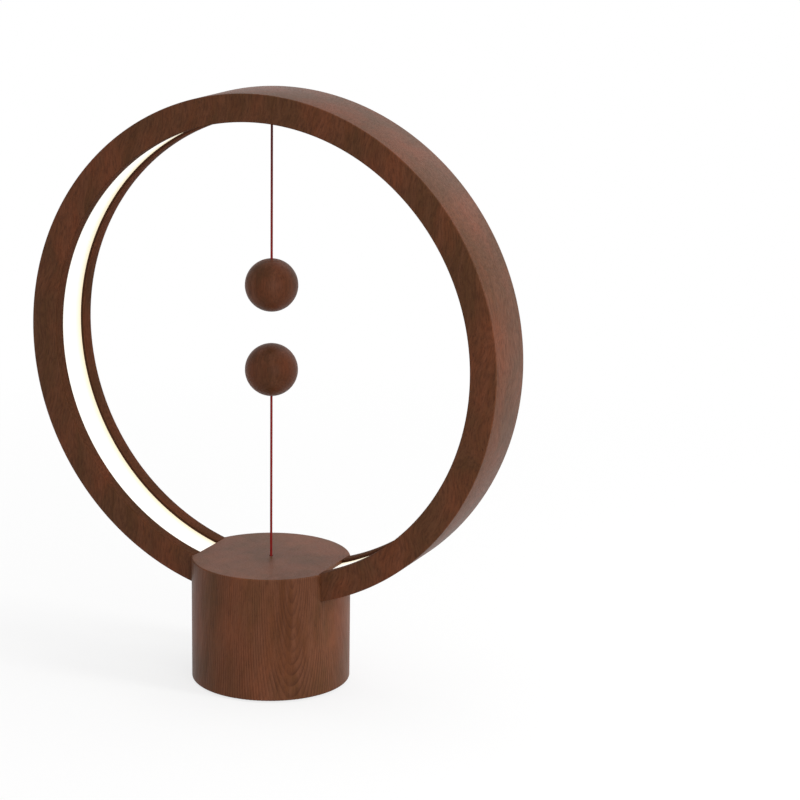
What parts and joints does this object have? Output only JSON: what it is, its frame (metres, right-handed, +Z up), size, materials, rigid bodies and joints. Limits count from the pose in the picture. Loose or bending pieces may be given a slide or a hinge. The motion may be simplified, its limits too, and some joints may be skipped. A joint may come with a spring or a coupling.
{
  "type": "magnetic balance lamp",
  "caption": "Round wooden lamp with a light band inside its ring and two cord-hung magnetic balls; lifting the lower ball to the upper one switches it on.",
  "frame": {"origin": "centre of the foot on the surface that the lamp stands on", "axes": "+Z up; the ring stands in the XZ plane and its depth runs along Y; the lamp's front faces -Y and the power inlet +Y"},
  "size_m": [0.23, 0.0724, 0.27],
  "materials": {
    "hoop_wood": "satin, quarter-sawn walnut brown with short fine grain",
    "base_wood": "satin, walnut brown with long grain",
    "ball_wood": "satin, walnut brown with soft grain",
    "plug_wood": "satin, as the balls",
    "diffuser": "opal, lit from behind",
    "led_strip": "white coated strip",
    "led_chip": "yellow phosphor",
    "lead": "satin lead insulation",
    "dark_bush": "dark brown moulded plastic",
    "cord": "matte, fine red braid",
    "eyelet": "aged brass",
    "frame_plastic": "black moulded plastic",
    "screw": "zinc plated",
    "switch_plastic": "black moulded plastic",
    "switch_metal": "bright spring steel",
    "button": "red moulded plastic",
    "board": "green lacquered board",
    "board_part": "black component cases",
    "socket": "stamped sheet steel",
    "surround": "fine spark-eroded black",
    "ballast": "black coated steel",
    "bottom_plate": "black powder coat",
    "foot_pad": "matte black felt",
    "rod": "turned and polished",
    "clip": "blackened spring steel",
    "spring": "bright wire",
    "magnet": "bright nickel plating"
  },
  "bodies": {
    "lamp": {"base_body": "base_wood", "ring_hoop": "hoop_wood", "ring_diffuser": "diffuser", "led_strip": "led_strip", "led_chips": "led_chip", "led_leads": "lead", "anchor_bush": "dark_bush", "upper_cord_anchor": "cord", "cord_eyelet": "eyelet", "inner_frame": "frame_plastic", "ring_screws": "screw", "switch_case": "switch_plastic", "switch_pin": "switch_metal", "switch_terminals": "switch_metal", "switch_leads": "lead", "circuit_board": "board", "board_parts": "board_part", "board_screws": "screw", "power_socket": "socket", "inlet_surround": "surround", "ballast_weight": "ballast", "ballast_screw": "screw", "bottom_plate": "bottom_plate", "bottom_screws": "screw", "foot_pad": "foot_pad"},
    "puller": {"pull_rod": "rod", "rod_clip": "clip", "return_spring": "spring", "lower_cord_inner": "cord"},
    "lower_bend": {"lower_cord_bend": "cord"},
    "lower_run": {"lower_cord_run": "cord"},
    "lower_pendant": {"lower_cord_end": "cord", "lower_ball": "ball_wood", "lower_magnet": "magnet", "lower_plug": "plug_wood"},
    "upper_bend": {"upper_cord_bend": "cord"},
    "upper_pendant": {"upper_cord": "cord", "upper_ball": "ball_wood", "upper_magnet": "magnet", "upper_plug": "plug_wood"},
    "lever": {"switch_lever": "switch_metal"},
    "button": {"switch_button": "button"}
  },
  "joints": [
    {"name": "switch_pull", "type": "slide", "parent": "lamp", "child": "puller", "axis": [0, 0, 1], "range_m": [-0.003, 0], "stiffness_N_per_m": 400, "deforming": ["return_spring"]},
    {"name": "lower_cord_lean", "type": "hinge", "parent": "puller", "child": "lower_bend", "pos_m": [0, 0, 0.0614], "axis": [1, 0, 0], "range_deg": [-88, 88], "stiffness_Nm_per_rad": 0.03},
    {"name": "lower_cord_side", "type": "hinge", "parent": "lower_bend", "child": "lower_run", "pos_m": [0, 0, 0.0614], "axis": [0, 1, 0], "range_deg": [-56, 56], "stiffness_Nm_per_rad": 0.03},
    {"name": "lower_cord_fold", "type": "hinge", "parent": "lower_run", "child": "lower_pendant", "pos_m": [0, 0, 0.0983], "axis": [1, 0, 0], "range_deg": [-77, 77], "stiffness_Nm_per_rad": 0.02},
    {"name": "upper_cord_lean", "type": "hinge", "parent": "lamp", "child": "upper_bend", "pos_m": [0, 0, 0.2554], "axis": [1, 0, 0], "range_deg": [-56, 56]},
    {"name": "upper_cord_side", "type": "hinge", "parent": "upper_bend", "child": "upper_pendant", "pos_m": [0, 0, 0.2554], "axis": [0, 1, 0], "range_deg": [-56, 56]},
    {"name": "switch_lever_turn", "type": "hinge", "parent": "lamp", "child": "lever", "pos_m": [0, 0.0155, 0.04115], "axis": [1, 0, 0], "range_deg": [0, 17]},
    {"name": "switch_button_press", "type": "slide", "parent": "lamp", "child": "button", "axis": [0, 0, 1], "range_m": [-0.001, 0]}
  ],
  "couplings": [
    {"joint": "switch_lever_turn", "follows": "switch_pull", "rad_per_m": -89},
    {"joint": "switch_button_press", "follows": "switch_pull", "ratio": 0.27}
  ]
}
